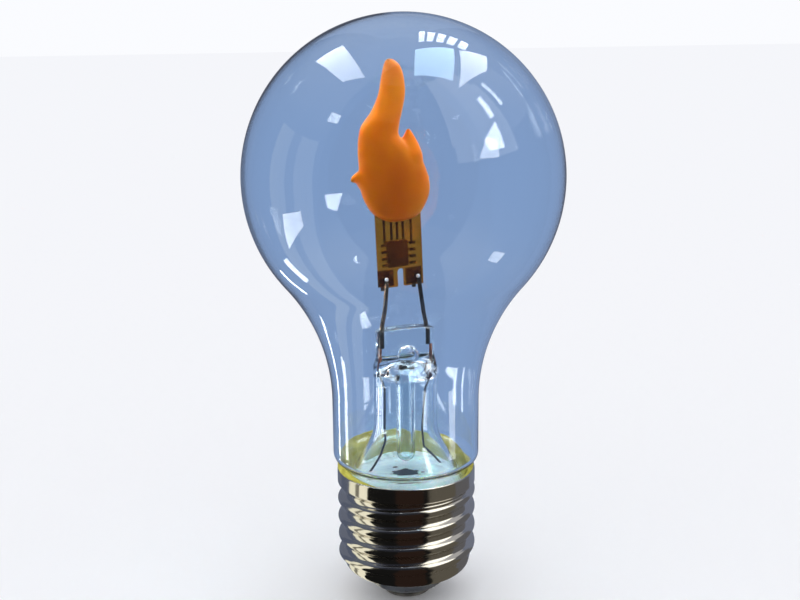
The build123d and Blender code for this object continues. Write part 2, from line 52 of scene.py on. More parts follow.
BAND_RADIUS = 13.2
BAND_WIDENS = (21.7, 22.9)
RIM_START = 25.2
RIM_LEAN = 0.25
CUP_TOP = 7.3
CUP_HEIGHT = 2.4
CUP_DRAW = 2.97
CUP_ROUND = 2.3
SHELL_STEPS = 160
# Rows of the sheet from the foot up: first height, spacing and number
SHELL_ROWS = ((4.9, 0.12, 20), (7.3, 0.158, 98), (22.78, 0.136, 21))


def smooth(mesh):
    mesh.polygons.foreach_set("use_smooth", [True] * len(mesh.polygons))


def put_in_scene(name, mesh):
    piece = bpy.data.objects.new(name, mesh)
    bpy.context.scene.collection.objects.link(piece)
    return piece


def settle(piece, replaced=()):
    """Rides the piece on the lamp and hides the solids that it replaces."""
    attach(piece, "root")
    if replaced:
        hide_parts(*replaced)


def add_piece(name, points, faces, finish, replaced):
    """A smooth piece from points in millimetres."""
    mesh = bpy.data.meshes.new(name)
    mesh.from_pydata([tuple(0.001 * value for value in point) for point in points], [], faces)
    mesh.validate()
    shape = bmesh.new()
    shape.from_mesh(mesh)
    bmesh.ops.recalc_face_normals(shape, faces=shape.faces)
    shape.to_mesh(mesh)
    shape.free()
    smooth(mesh)
    mesh.materials.append(finish)
    piece = put_in_scene(name, mesh)
    settle(piece, replaced)
    return piece


def around(radius, angle, height):
    return (radius * math.cos(angle), radius * math.sin(angle), height)


def ring_faces(rows, steps, closed=False):
    """Quads between rings of points; closed joins the last ring to the first."""
    faces = []
    for row in range(rows if closed else rows - 1):
        below, above = row * steps, (row + 1) % rows * steps
        for step in range(steps):
            following = (step + 1) % steps
            faces.append((below + step, below + following, above + following, above + step))
    return faces


def shader_of(finish):
    return finish.node_tree.nodes["Principled BSDF"]


def set_shader(finish, values):
    """Sets sockets of the shader itself, each by its name."""
    for socket, value in values.items():
        shader_of(finish).inputs[socket].default_value = value


def new_finish(name, colour, roughness, metallic=0.0):
    """A material of one colour and one roughness, to which grain and relief can be added."""
    finish = bpy.data.materials.new(name)
    finish.use_nodes = True
    set_shader(finish, {"Base Color": (*colour, 1), "Roughness": roughness, "Metallic": metallic})
    return finish


def grain(finish, scale, detail, distortion=0.0, stretch=(1, 1, 1)):
    """Noise over the piece's own place, in turns per metre."""
    tree = finish.node_tree
    place = tree.nodes.new("ShaderNodeTexCoord")
    mapping = tree.nodes.new("ShaderNodeMapping")
    mapping.inputs["Scale"].default_value = stretch
    cloud = tree.nodes.new("ShaderNodeTexNoise")
    cloud.inputs["Scale"].default_value = scale
    cloud.inputs["Detail"].default_value = detail
    cloud.inputs["Distortion"].default_value = distortion
    tree.links.new(place.outputs["Object"], mapping.inputs["Vector"])
    tree.links.new(mapping.outputs["Vector"], cloud.inputs["Vector"])
    return cloud.outputs["Fac"]


def spread(finish, value, low, high, from_low, from_high):
    """The value brought from one range to another."""
    tree = finish.node_tree
    remap = tree.nodes.new("ShaderNodeMapRange")
    remap.inputs["From Min"].default_value = from_low
    remap.inputs["From Max"].default_value = from_high
    remap.inputs["To Min"].default_value = low
    remap.inputs["To Max"].default_value = high
    tree.links.new(value, remap.inputs["Value"])
    return remap.outputs["Result"]


def roughen_by(finish, value, low, high, from_low=0.3, from_high=0.7):
    """Roughness between two values, as the value goes through its range."""
    roughness = spread(finish, value, low, high, from_low, from_high)
    finish.node_tree.links.new(roughness, shader_of(finish).inputs["Roughness"])


def bump_by(finish, value, depth, strength):
    """Relief from the value; depth in metres."""
    tree = finish.node_tree
    bump = tree.nodes.new("ShaderNodeBump")
    bump.inputs["Strength"].default_value = strength
    bump.inputs["Distance"].default_value = depth
    tree.links.new(value, bump.inputs["Height"])
    tree.links.new(bump.outputs["Normal"], shader_of(finish).inputs["Normal"])


def smoothstep(low, high, value):
    share = min(1.0, max(0.0, (value - low) / (high - low)))
    return share * share * (3 - 2 * share)


def rolled_radius(height, turn):
    """Outer radius of the shell at a height and a share of a turn from +X."""
    crest_centre = THREAD_CREST - THREAD_ARC
    root_centre = crest_centre + math.sqrt(4 * THREAD_ARC ** 2 - (THREAD_PITCH / 2) ** 2)
    rise = ((height - THREAD_START) / THREAD_PITCH - turn + 0.5) % 1.0 - 0.5
    away = abs(rise) * THREAD_PITCH
    if away < THREAD_PITCH / 4:
        knuckle = crest_centre + math.sqrt(THREAD_ARC ** 2 - away ** 2)
    else:
        knuckle = root_centre - math.sqrt(THREAD_ARC ** 2 - (THREAD_PITCH / 2 - away) ** 2)
    threaded = smoothstep(*THREAD_RUNS_IN, height) * (1 - smoothstep(*THREAD_RUNS_OUT, height))
    plain = SHELL_CORE + (BAND_RADIUS - SHELL_CORE) * smoothstep(*BAND_WIDENS, height)
    cup = max(0.0, CUP_TOP - height) / CUP_HEIGHT
    plain -= CUP_DRAW * (1 - math.sqrt(max(0.0, 1 - cup ** CUP_ROUND)))
    lean = RIM_LEAN * max(0.0, height - RIM_START)
    return plain + threaded * (knuckle - SHELL_CORE) - lean


shell_heights = [first + spacing * row for first, spacing, rows in SHELL_ROWS for row in range(rows)]
shell_rings = [(height, 0) for height in shell_heights]
shell_rings += [(height, SHELL_WALL) for height in reversed(shell_heights)]
shell_points = []
for height, inset in shell_rings:
    for step in range(SHELL_STEPS):
        turn = step / SHELL_STEPS
        shell_points.append(around(rolled_radius(height, turn) - inset, 2 * math.pi * turn, height))
nickel = new_finish("bright_nickel", (0.80, 0.77, 0.72), 0.12, 1.0)
roughen_by(nickel, grain(nickel, 260, 6.0, 0.4, (1, 1, 0.35)), 0.07, 0.2)
bump_by(nickel, grain(nickel, 700, 3.0), 0.000012, 0.6)
add_piece("rolled_shell", shell_points, ring_faces(len(shell_rings), SHELL_STEPS, closed=True), nickel,
          ["screw_shell"])


# Insulator. Dark vitrified glass run into the foot of the shell while hot; its face is slightly
# uneven and shines dully. The end contact is pressed into it.
WELD_GAP = 0.000001
SHARP_EDGE = math.radians(35)


def ramp_of(finish, value, stops):
    """A colour from the value, through stops that are each a place from 0 to 1 and a colour."""
    tree = finish.node_tree
    ramp = tree.nodes.new("ShaderNodeValToRGB")
    elements = ramp.color_ramp.elements
    while len(elements) < len(stops):
        elements.new(0.5)
    for element, (place, colour) in zip(elements, stops):
        element.position = place
        element.color = (*colour, 1)
    tree.links.new(value, ramp.inputs["Fac"])
    return ramp.outputs["Color"]


def shade_by(finish, value, stops):
    """Base colour from the value, through the stops."""
    finish.node_tree.links.new(ramp_of(finish, value, stops), shader_of(finish).inputs["Base Color"])


def dress(name, finish):
    """A better material and smooth faces on a piece that keeps its own shape."""
    piece = nodes[name]
    piece.data.materials.clear()
    piece.data.materials.append(finish)
    weld = piece.modifiers.new("weld", "WELD")
    weld.merge_threshold = WELD_GAP
    smooth(piece.data)
    piece.data.set_sharp_from_angle(angle=SHARP_EDGE)


vitrite = new_finish("dark_vitrite", (0.075, 0.085, 0.095), 0.3)
shade_by(vitrite, grain(vitrite, 300, 5.0), [(0.3, (0.05, 0.058, 0.066)), (0.7, (0.12, 0.13, 0.145))])
roughen_by(vitrite, grain(vitrite, 500, 4.0), 0.22, 0.45)
bump_by(vitrite, grain(vitrite, 420, 3.0), 0.00012, 0.5)
dress("cap_insulator", vitrite)


# End contact. Pressed brass button with a hollow eyelet, plated and lightly rubbed; its eyelet is
# filled level with solder, which holds the tail of the fusible resistor.
button = new_finish("rubbed_brass", (0.30, 0.29, 0.26), 0.45, 1.0)
shade_by(button, grain(button, 380, 6.0), [(0.35, (0.22, 0.21, 0.19)), (0.65, (0.40, 0.385, 0.34))])
roughen_by(button, grain(button, 900, 5.0, 0.3), 0.35, 0.6)
bump_by(button, grain(button, 800, 3.0), 0.00003, 0.5)
dress("centre_contact", button)
tin = new_finish("dull_solder", (0.62, 0.63, 0.65), 0.3, 1.0)
shade_by(tin, grain(tin, 900, 4.0), [(0.3, (0.48, 0.49, 0.51)), (0.7, (0.74, 0.75, 0.77))])
roughen_by(tin, grain(tin, 1500, 3.0), 0.18, 0.45)
bump_by(tin, grain(tin, 1400, 2.0), 0.00004, 0.6)
dress("contact_solder", tin)


# Supply. A round laminate with a moulded rectifier, a sleeved capacitor and an upright fusible
# resistor, all cast in the cap. A wire joins the laminate to the shell.
laminate = new_finish("green_laminate", (0.10, 0.28, 0.15), 0.4)
bump_by(laminate, grain(laminate, 2500, 2.0), 0.00002, 0.4)
dress("driver_board", laminate)
moulding = new_finish("black_moulding", (0.018, 0.018, 0.02), 0.5)
bump_by(moulding, grain(moulding, 5200, 2.0), 0.000015, 0.6)
roughen_by(moulding, grain(moulding, 1800, 3.0), 0.35, 0.6)
dress("bridge_rectifier", moulding)
sleeve = new_finish("capacitor_sleeve", (0.02, 0.035, 0.05), 0.35)
bump_by(sleeve, grain(sleeve, 900, 2.0), 0.00002, 0.4)
dress("smoothing_capacitor", sleeve)
ceramic = new_finish("resistor_body", (0.16, 0.32, 0.42), 0.55)
bump_by(ceramic, grain(ceramic, 2500, 3.0), 0.00003, 0.5)
dress("fusible_resistor", ceramic)
wire_grey = new_finish("dark_lead", (0.05, 0.05, 0.055), 0.35, 0.8)
roughen_by(wire_grey, grain(wire_grey, 1500, 3.0), 0.22, 0.5)
dress("side_wire", wire_grey)


# Filler. White silicone poured over the supply up into the mouth of the flare, lifted by a faint painted glow
# for light. Small bubbles stand in its uneven face, and dark crumbs of the sleeve's edge show round the
# capacitor's top.
FILLER_FACE = 25.0
CRUMB_LIFT = 0.03
# Each bubble and crumb by its x, y and radius
BUBBLES = ((0.1, 6.4, 0.36), (-0.5, 3.9, 0.42), (2.3, 5.5, 0.3), (4.3, 3.0, 0.4), (-6.4, -0.6, 0.3))
CRUMBS = ((-1.9, 0.9, 0.4), (1.9, -3.6, 0.3), (-3.7, -2.7, 0.55), (-3.1, -4.8, 0.5),
          (0.2, -4.9, 0.6), (0.9, -2.6, 0.45), (-0.6, -1.0, 0.5), (-2.9, -1.3, 0.4))


def ball(name, centre, radius, squash=(1, 1, 1)):
    mesh = bpy.data.meshes.new(name)
    shape = bmesh.new()
    bmesh.ops.create_uvsphere(shape, u_segments=40, v_segments=24, radius=0.001 * radius)
    bmesh.ops.scale(shape, verts=shape.verts, vec=squash)
    bmesh.ops.translate(shape, verts=shape.verts, vec=Vector(centre) * 0.001)
    shape.to_mesh(mesh)
    shape.free()
    smooth(mesh)
    return put_in_scene(name, mesh)


def add_ball(name, centre, radius, finish, squash=(1, 1, 1)):
    """A small round piece of its own."""
    piece = ball(name, centre, radius, squash)
    piece.data.materials.append(finish)
    settle(piece)


filler = new_finish("white_filler", (0.72, 0.86, 0.88), 0.3)
shade_by(filler, grain(filler, 260, 5.0), [(0.3, (0.58, 0.76, 0.80)), (0.7, (0.80, 0.92, 0.93))])
roughen_by(filler, grain(filler, 600, 3.0), 0.16, 0.4)
bump_by(filler, grain(filler, 330, 3.0), 0.0003, 0.6)
# The filler's emission is painted light: a glow standing in for light that reaches it through the glass.
set_shader(filler, {"Subsurface Weight": 0.3, "Subsurface Scale": 0.001,
                    "Emission Color": (0.6, 0.80, 0.84, 1), "Emission Strength": 0.38})
dress("potting", filler)
# The bubbles' emission is painted light: a glow that makes them stand out bright, with no lamp in them.
skin = new_finish("bubble_skin", (0.85, 0.95, 0.97), 0.1)
set_shader(skin, {"Emission Color": (0.85, 0.97, 1.0, 1), "Emission Strength": 0.35})
for index, (x, y, radius) in enumerate(BUBBLES):
    add_ball(f"filler_bubble_{index}", (x, y, FILLER_FACE), radius, skin, (1, 1, 0.7))
for index, (x, y, radius) in enumerate(CRUMBS):
    add_ball(f"filler_speck_{index}", (x, y, FILLER_FACE + CRUMB_LIFT), radius, sleeve,
             (1.3, 1, 0.15))


# Stem. A flared glass tube, pressed flat on the wires at its top while soft, with the small bubble
# that is blown where the exhaust tube opens. Its flare is sealed to the neck's drawn-in foot.
STEM_STEPS = 96
STEM_RADIUS = 6.0
STEM_WALL = 0.8
STEM_RISE = 9.6
FLARE_FOOT = 22.25
FLARE_LIP = 11.28
FLARE_TURN = math.radians(29.5)
BEND_RADIUS = 9.0
BEND_CENTRE = (15.0, 34.8)
PRESS_START = 44.4
PRESS_RISE = 3.4
PRESS_HALF_WIDTH = 5.6
PRESS_HALF_DEPTH = 1.9
PRESS_SQUARENESS = 4.4
PRESS_LIFT = -0.25
# Rings of the press above its shoulders: height, and how far its rounded top has drawn in
PRESS_RINGS = ((49.0, 0), (50.5, 0), (52.0, 0), (52.9, 0), (53.15, 0.08), (53.32, 0.26), (53.4, 0.55),
               (53.42, 1.0), (53.42, 1.5))
CAVITY_RISE = 8.6
CAVITY_DOME = 2.6
CAVITY_PINCH = 2.0
CAVITY_TIP = 0.02
BUBBLE_CENTRE = (0, -0.5, 47.75)
BUBBLE_RADIUS = 2.5
BUBBLE_HOLLOW = 1.95


def bent_outline(inset):
    """Radius and height of the flare and tube, upward from the sealed rim."""
    swing = BEND_RADIUS + inset
    centre, level = BEND_CENTRE
    cone_radius = centre - swing * math.cos(FLARE_TURN)
    cone_top = level - swing * math.sin(FLARE_TURN)
    outline = []
    for step in range(9):
        height = FLARE_FOOT + (cone_top - FLARE_FOOT) * step / 9
        outline.append((min(FLARE_LIP, cone_radius + (cone_top - height) * math.tan(FLARE_TURN)), height))
    for step in range(13):
        angle = FLARE_TURN * (1 - step / 12)
        outline.append((centre - swing * math.cos(angle), level - swing * math.sin(angle)))
    return outline


def oval(half_width, half_depth, squareness, steps):
    """Points round an oval: an ellipse where squareness is 2, and squarer above that."""
    power = 2 / squareness
    places = []
    for step in range(steps):
        angle = 2 * math.pi * step / steps
        across, along = math.sin(angle), math.cos(angle)
        places.append((half_width * math.copysign(abs(along) ** power, along),
                       half_depth * math.copysign(abs(across) ** power, across)))
    return places


def stem_ring(half_width, half_depth, squareness, height, lift=0.0):
    """A ring of the stem; lift raises its two ends."""
    return [(x, y, height + lift * (x / half_width) ** 2)
            for x, y in oval(half_width, half_depth, squareness, STEM_STEPS)]


def shifted(faces, start):
    return [tuple(start + corner for corner in face) for face in faces]


stem_rings = [stem_ring(radius, radius, 2, height) for radius, height in bent_outline(0)]
stem_rings += [stem_ring(STEM_RADIUS, STEM_RADIUS, 2, BEND_CENTRE[1] + STEM_RISE * step / 8)
               for step in range(1, 9)]
for step in range(1, 13):
    share = smoothstep(0, 12, step)
    stem_rings.append(stem_ring(STEM_RADIUS + (PRESS_HALF_WIDTH - STEM_RADIUS) * share,
                                STEM_RADIUS + (PRESS_HALF_DEPTH - STEM_RADIUS) * share,
                                2 + (PRESS_SQUARENESS - 2) * share, PRESS_START + PRESS_RISE * step / 12))
for height, drawn in PRESS_RINGS:
    stem_rings.append(stem_ring(PRESS_HALF_WIDTH - drawn, PRESS_HALF_DEPTH - drawn, PRESS_SQUARENESS,
                                height, PRESS_LIFT))
stem_bore = STEM_RADIUS - STEM_WALL
cavity_rings = [stem_ring(radius, radius, 2, height) for radius, height in bent_outline(STEM_WALL)]
cavity_rings += [stem_ring(stem_bore, stem_bore, 2, BEND_CENTRE[1] + CAVITY_RISE * step / 8)
                 for step in range(1, 9)]
for step in range(1, 13):
    angle = math.radians(90 * step / 12)
    half_width = stem_bore * math.cos(angle)
    half_depth = (stem_bore - CAVITY_PINCH * math.sin(angle)) * math.cos(angle)
    cavity_rings.append(stem_ring(max(CAVITY_TIP, half_width), max(CAVITY_TIP, half_depth), 2,
                                  BEND_CENTRE[1] + CAVITY_RISE + CAVITY_DOME * math.sin(angle)))
stem_points = [point for ring in stem_rings + cavity_rings for point in ring]
inner_start = len(stem_rings) * STEM_STEPS
stem_faces = ring_faces(len(stem_rings), STEM_STEPS)
stem_faces += shifted(ring_faces(len(cavity_rings), STEM_STEPS), inner_start)
stem_faces += [(step, (step + 1) % STEM_STEPS, inner_start + (step + 1) % STEM_STEPS, inner_start + step)
               for step in range(STEM_STEPS)]
for end in (inner_start, len(stem_points)):
    stem_faces.append(tuple(range(end - STEM_STEPS, end)))


def clear_glass(name, colour, ripple, smear, gloss):
    """Clear glass of a faint tint, with soft draw lines and a touch of dust."""
    glass = new_finish(name, colour, 0.01)
    set_shader(glass, {"Transmission Weight": 1.0, "IOR": 1.5, "Specular Tint": (gloss, gloss, gloss, 1)})
    roughen_by(glass, grain(glass, 90, 3.0), 0.0, smear, 0.45, 0.8)
    bump_by(glass, grain(glass, 45, 1.0, 0.2, (1, 1, 0.3)), ripple, 0.4)
    return glass


def work_in(piece):
    """Makes the modifiers' result the piece's own mesh."""
    result = piece.evaluated_get(bpy.context.evaluated_depsgraph_get())
    piece.data = bpy.data.meshes.new_from_object(result)
    piece.modifiers.clear()


def carve(piece, tool, operation):
    """Joins or cuts with another closed shape, and takes that shape away."""
    step = piece.modifiers.new("carve", "BOOLEAN")
    step.operation = operation
    step.object = tool
    step.solver = "EXACT"
    work_in(piece)
    bpy.data.objects.remove(tool)
    smooth(piece.data)


stem_glass = clear_glass("stem_glass", (0.93, 0.97, 0.98), 0.0001, 0.02, 0.9)
stem = add_piece("pressed_stem", stem_points, stem_faces, stem_glass, ["stem_flare"])
carve(stem, ball("bubble_skin", BUBBLE_CENTRE, BUBBLE_RADIUS), "UNION")
carve(stem, ball("bubble_hollow", BUBBLE_CENTRE, BUBBLE_HOLLOW), "DIFFERENCE")


# Exhaust tube. A thin glass tube up the middle of the stem, through which the bulb was filled; it
# was melted shut below.
TUBE_STEPS = 48
TUBE_RADIUS = 1.8
TUBE_BORE = 1.1
TUBE_FOOT = 28.3
TUBE_LENGTH = 17.6
TUBE_TOP = 45.9
TIP_CENTRE = 28.2
TIP_TURN = 0.16
TIP_HOLE = 0.05
TIP_OUTSIDE = 26.42
TIP_INSIDE = 27.1


def turned(outline, steps):
    """Rings of points from radii and heights, turned about the lamp's axis."""
    return [around(radius, 2 * math.pi * step / steps, height)
            for radius, height in outline for step in range(steps)]


def capped_faces(rows, steps):
    """Quads between rings of points, and one face over each end."""
    last = rows * steps
    return ring_faces(rows, steps) + [tuple(range(steps)), tuple(range(last - steps, last))]


tip_angles = [TIP_TURN * step for step in range(1, 10)]
tube_outline = [(TIP_HOLE, TIP_OUTSIDE)]
tube_outline += [(TUBE_RADIUS * math.sin(angle), TIP_CENTRE - TUBE_RADIUS * math.cos(angle))
                 for angle in tip_angles]
tube_outline += [(TUBE_RADIUS, TUBE_FOOT + TUBE_LENGTH * step / 8) for step in range(9)]
tube_outline += [(TUBE_BORE, TUBE_TOP - TUBE_LENGTH * step / 8) for step in range(9)]
tube_outline += [(TUBE_BORE * math.cos(angle), TIP_CENTRE - TUBE_BORE * math.sin(angle))
                 for angle in tip_angles]
tube_outline += [(TIP_HOLE, TIP_INSIDE)]
add_piece("exhaust_glass", turned(tube_outline, TUBE_STEPS), capped_faces(len(tube_outline), TUBE_STEPS),
          stem_glass, ["exhaust_tube"])


# Seal wires. Short red-coated wires that the press grips, and below them the thin dark leads that
# run loosely down through the flare into the filler.
dumet = new_finish("dumet_coat", (0.30, 0.07, 0.03), 0.35, 0.3)
shade_by(dumet, grain(dumet, 1200, 3.0), [(0.3, (0.22, 0.05, 0.02)), (0.7, (0.42, 0.13, 0.05))])
for side in ("left", "right"):
    dress(f"dumet_{side}", dumet)
    dress(f"lower_lead_{side}", wire_grey)


# Support legs. Copper-clad steel wire, dulled and bronzed by the press's heat. Each stands up out of the
# press, hooks back through a pad's hole and is cut off short behind the board; a bright bead of tin at its
# bend is a painted highlight.
HIGHLIGHT_BEAD_RADIUS = 0.37
HIGHLIGHT_BEADS = {"left": (-4.05, -1.3, 62.5), "right": (2.2, -1.3, 62.7)}
# The beads at the bends are painted highlights: bright tin set where the bends catch the light.
highlight_tin = new_finish("highlight_tin", (0.92, 0.93, 0.95), 0.35, 0.5)
leg_metal = new_finish("bronzed_wire", (0.25, 0.19, 0.13), 0.25, 1.0)
shade_by(leg_metal, grain(leg_metal, 500, 5.0, 0.5),
         [(0.35, (0.05, 0.038, 0.028)), (0.6, (0.16, 0.10, 0.06)), (0.85, (0.6, 0.46, 0.30))])
roughen_by(leg_metal, grain(leg_metal, 900, 3.0), 0.08, 0.22)
for side, centre in HIGHLIGHT_BEADS.items():
    dress(f"support_leg_{side}", leg_metal)
    add_ball(f"highlight_bead_{side}", centre, HIGHLIGHT_BEAD_RADIUS, highlight_tin)


# Board. Thin amber laminate that light passes through, with a narrow tongue up into the flame. Its
# copper, chip and leads are on the back and show through it as soft dark shapes.
BOARD_THINNING = 0.97


def thinned(name, source, share, finish):
    """A copy of a flat piece, drawn in a hair from its faces so that nothing lies in one plane."""
    mesh = nodes[source].data.copy()
    mesh.name = name
    for vertex in mesh.vertices:
        vertex.co.y *= share
    mesh.materials.clear()
    mesh.materials.append(finish)
    settle(put_in_scene(name, mesh), [source])


amber = new_finish("amber_laminate", (0.66, 0.24, 0.017), 0.12)
set_shader(amber, {"Transmission Weight": 0.94, "IOR": 1.02, "Coat Weight": 0.1, "Coat Roughness": 0.2})
shade_by(amber, grain(amber, 420, 4.0), [(0.3, (0.60, 0.215, 0.015)), (0.7, (0.73, 0.275, 0.02))])
thinned("amber_board", "led_board", BOARD_THINNING, amber)
copper = new_finish("brown_copper", (0.03, 0.015, 0.006), 0.5, 0.3)
shade_by(copper, grain(copper, 900, 4.0), [(0.3, (0.016, 0.008, 0.004)), (0.7, (0.045, 0.022, 0.008))])
dress("board_copper", copper)
dress("control_chip", moulding)
dress("chip_leads", tin)
dress("leg_solder", tin)
resin = new_finish("led_resin", (0.85, 0.55, 0.10), 0.3)
bump_by(resin, grain(resin, 1500, 2.0), 0.00002, 0.4)
dress("leds", resin)


# Flame. Cast translucent orange silicone: a full teardrop below, an S-bent tongue and a short spur
# above, a small curled horn at each side and a blunt nipped tip. It is cast about the board's tongue.
FLAME_STEPS = 48
FLAME_SQUARENESS = 2.15
FLAME_CELL = 0.00026
BODY_ROWS = 90
SPUR_ROWS = 30
SPUR_FORWARD = 0.35
# Rings of the body and the spur: height, middle, half width and half depth
BODY_RINGS = ((72.9, -1.75, 1.2, 0.5), (73.25, -1.3, 2.5, 1.0), (73.8, -1.2, 3.75, 1.6),
              (75.0, -1.35, 5.05, 2.2), (77.5, -1.45, 6.35, 2.85), (80.0, -1.7, 6.7, 3.15),
              (83.0, -2.2, 6.3, 3.2), (86.0, -3.15, 5.5, 3.05), (88.5, -4.65, 3.8, 2.8),
              (90.5, -4.4, 3.5, 2.5), (93.0, -3.15, 2.85, 2.25), (96.0, -2.15, 2.45, 2.05),
              (99.0, -1.95, 2.05, 1.8), (101.0, -2.05, 1.5, 1.35), (101.9, -2.35, 0.85, 0.8),
              (102.25, -2.5, 0.35, 0.35))
SPUR_RINGS = ((80.5, 0.2, 2.6, 1.3), (82.5, 0.35, 3.3, 2.0), (84.0, 0.4, 3.2, 2.35),
              (85.5, 0.65, 2.7, 2.3), (87.0, 0.9, 1.85, 1.7), (88.2, 1.0, 1.15, 1.1),
              (89.2, 0.95, 0.6, 0.6), (89.9, 0.85, 0.28, 0.28))
# Rings of the horns: centre from the front, half width and half depth
LEFT_HORN = (((-7.0, 80.6), 2.2, 1.9), ((-8.0, 81.0), 1.7, 1.5), ((-8.9, 81.3), 1.15, 1.1),
             ((-9.6, 81.1), 0.7, 0.7), ((-10.2, 80.7), 0.25, 0.25))
RIGHT_HORN = (((4.0, 80.3), 1.0, 0.9), ((4.7, 80.7), 0.5, 0.5), ((5.15, 81.0), 0.15, 0.15))
FLAME_HEART = (-2.4, 0, 80.5)
DARK_TIPS = ((-2.6, -0.1, 102.35), (0.85, -0.4, 90.0), (5.25, 0, 81.05), (-10.2, 0, 80.7))


def between(rings, place):
    """Values of the rings at a place along them, on a smooth curve through every ring."""
    last = len(rings) - 1
    index = min(int(place), last - 1)
    share = place - index
    rows = [rings[max(0, index - 1)], rings[index], rings[index + 1], rings[min(last, index + 2)]]
    result = []
    for before, start, end, after in zip(*rows):
        result.append(0.5 * (2 * start + (end - before) * share
                             + (2 * before - 5 * start + 4 * end - after) * share ** 2
                             + (3 * start - before - 3 * end + after) * share ** 3))
    return result


def lobe(rings, rows, forward=0.0):
    """An upright lobe of silicone, as points and faces."""
    points = []
    for row in range(rows):
        height, middle, half, depth = between(rings, row / (rows - 1) * (len(rings) - 1))
        points += [(middle + x, y - forward, height)
                   for x, y in oval(half, depth, FLAME_SQUARENESS, FLAME_STEPS)]
    return points, capped_faces(rows, FLAME_STEPS)


def horn(rings):
    """A curled horn of silicone, as points and faces."""
    points = []
    for index, (centre, half, depth) in enumerate(rings):
        ahead = rings[min(index + 1, len(rings) - 1)][0]
        behind = rings[max(index - 1, 0)][0]
        direction = Vector((ahead[0] - behind[0], 0, ahead[1] - behind[1])).normalized()
        side = Vector((-direction.z, 0, direction.x))
        for step in range(FLAME_STEPS):
            angle = 2 * math.pi * step / FLAME_STEPS
            place = Vector((centre[0], 0, centre[1])) + side * half * math.cos(angle)
            points.append((place.x, depth * math.sin(angle), place.z))
    return points, capped_faces(len(rings), FLAME_STEPS)


def reach(finish, centre, stretch=(1, 1, 1)):
    """Distance in millimetres from a point of the piece, stretched along the axes."""
    tree = finish.node_tree
    place = tree.nodes.new("ShaderNodeTexCoord")
    away = tree.nodes.new("ShaderNodeVectorMath")
    away.operation = "SUBTRACT"
    away.inputs[1].default_value = [0.001 * value for value in centre]
    scaled = tree.nodes.new("ShaderNodeVectorMath")
    scaled.operation = "MULTIPLY"
    scaled.inputs[1].default_value = [1000 * value for value in stretch]
    length = tree.nodes.new("ShaderNodeVectorMath")
    length.operation = "LENGTH"
    tree.links.new(place.outputs["Object"], away.inputs[0])
    tree.links.new(away.outputs["Vector"], scaled.inputs[0])
    tree.links.new(scaled.outputs["Vector"], length.inputs[0])
    return length.outputs["Value"]


def tint_where(finish, factor, colour):
    """Lays a colour over the base colour where the factor is 1."""
    tree = finish.node_tree
    socket = shader_of(finish).inputs["Base Color"]
    blend = tree.nodes.new("ShaderNodeMix")
    blend.data_type = "RGBA"
    tree.links.new(factor, blend.inputs["Factor"])
    tree.links.new(socket.links[0].from_socket, blend.inputs["A"])
    blend.inputs["B"].default_value = (*colour, 1)
    tree.links.new(blend.outputs["Result"], socket)


# The faint orange emission is painted light: the lamp is unlit, and the glow stands in for light reaching the
# flame through the glass.
silicone = new_finish("orange_silicone", (0.95, 0.24, 0.0), 0.4)
set_shader(silicone, {
    "Subsurface Weight": 0.4, "Subsurface Radius": (1.0, 0.42, 0.03), "Subsurface Scale": 0.0015,
    "Specular IOR Level": 0.35, "Specular Tint": (1.0, 0.42, 0.03, 1),
    "Sheen Weight": 0.25, "Sheen Roughness": 0.4, "Sheen Tint": (1.0, 0.5, 0.03, 1),
    "Emission Color": (1.0, 0.15, 0.0, 1), "Emission Strength": 0.08,
})
shade_by(silicone, grain(silicone, 160, 4.0, 0.6), [(0.3, (0.66, 0.15, 0.0)), (0.7, (0.77, 0.21, 0.001))])
heart = reach(silicone, FLAME_HEART, (0.85, 0.3, 0.45))
tint_where(silicone, spread(silicone, heart, 0.8, 0.0, 1.0, 6.0), (0.36, 0.06, 0.0))
for tip in DARK_TIPS:
    tint_where(silicone, spread(silicone, reach(silicone, tip), 0.92, 0.0, 0.25, 0.85), (0.05, 0.025, 0.01))
roughen_by(silicone, grain(silicone, 700, 3.0), 0.28, 0.5)
bump_by(silicone, grain(silicone, 420, 3.0), 0.00015, 0.5)
flame_lobes = [lobe(BODY_RINGS, BODY_ROWS), lobe(SPUR_RINGS, SPUR_ROWS, SPUR_FORWARD)]
flame_lobes += [horn(LEFT_HORN), horn(RIGHT_HORN)]
flame_points, flame_faces = [], []
for points, faces in flame_lobes:
    flame_faces += shifted(faces, len(flame_points))
    flame_points += points
flame = add_piece("cast_flame", flame_points, flame_faces, silicone, ["silicone_flame"])
merge = flame.modifiers.new("merge", "REMESH")
merge.mode = "VOXEL"
merge.voxel_size = FLAME_CELL
merge.use_smooth_shade = True
soften = flame.modifiers.new("soften", "SMOOTH")
soften.factor = 0.5
soften.iterations = 6
work_in(flame)


# Glass envelope. Blown clear bulb: a round head, a hollow shoulder and a straight neck, its foot
# drawn in and sealed to the flare.
GLASS_STEPS = 168
HEAD_RADIUS = 29.5
HEAD_HEIGHT = 80.9
HEAD_START = 89.8
NECK_RADIUS = 13.9
NECK_TOP = 39.0
NECK_FOOT = 28.8
TUCK_ROUND = 2.0
SEAL_RADIUS = 12.0
SEAL_HEIGHT = 22.22
GLASS_OUTSIDE = 0.02
GLASS_INSIDE = 0.68


def swept(centre, radius, start, end, count):
    """Points of an arc in the half section, by angles in degrees."""
    angles = [math.radians(start + (end - start) * step / count) for step in range(count + 1)]
    return [(centre[0] + radius * math.cos(angle), centre[1] + radius * math.sin(angle)) for angle in angles]


